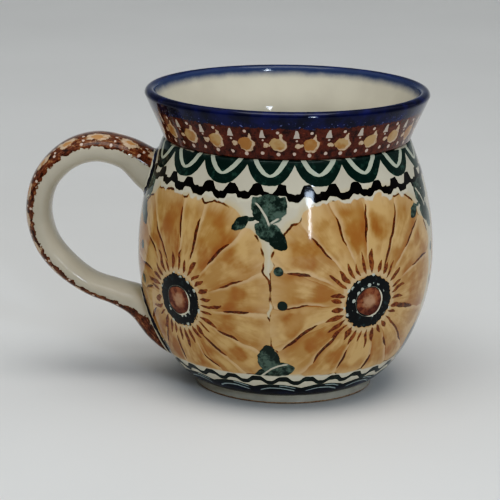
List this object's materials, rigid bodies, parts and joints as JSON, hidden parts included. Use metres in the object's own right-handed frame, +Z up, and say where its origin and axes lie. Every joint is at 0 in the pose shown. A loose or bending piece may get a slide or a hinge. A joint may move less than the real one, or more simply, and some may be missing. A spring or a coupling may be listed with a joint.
{
  "type": "mug",
  "caption": "Round-bellied stoneware mug with a flared collar, turned foot ring and a strap handle, painted with large flowers.",
  "frame": {"origin": "on the table under the foot ring, at the middle of the mug's outline seen from above, handle included; the vessel's turning axis stands at x = +0.01775", "axes": "+Z up out of the mouth, -X towards the handle, so the painted face in the usual view looks along -Y"},
  "size_m": [0.129, 0.0936, 0.095],
  "materials": {
    "flower_glaze": "glossy clear glaze over hand-painted flowers on cream",
    "collar_glaze": "glossy clear glaze over stamped brown and blue bands",
    "foot_clay": "cream glaze wiped off the standing edge, bare fired clay below",
    "strap_glaze": "glossy clear glaze, brown stamped back and cream sides",
    "joint_slip": "glossy clear glaze over a dark blue brushed line"
  },
  "bodies": {
    "root": {"belly": "flower_glaze", "collar": "collar_glaze", "foot_ring": "foot_clay", "handle": "strap_glaze", "upper_handle_joint": "joint_slip", "lower_handle_joint": "joint_slip"}
  },
  "joints": []
}
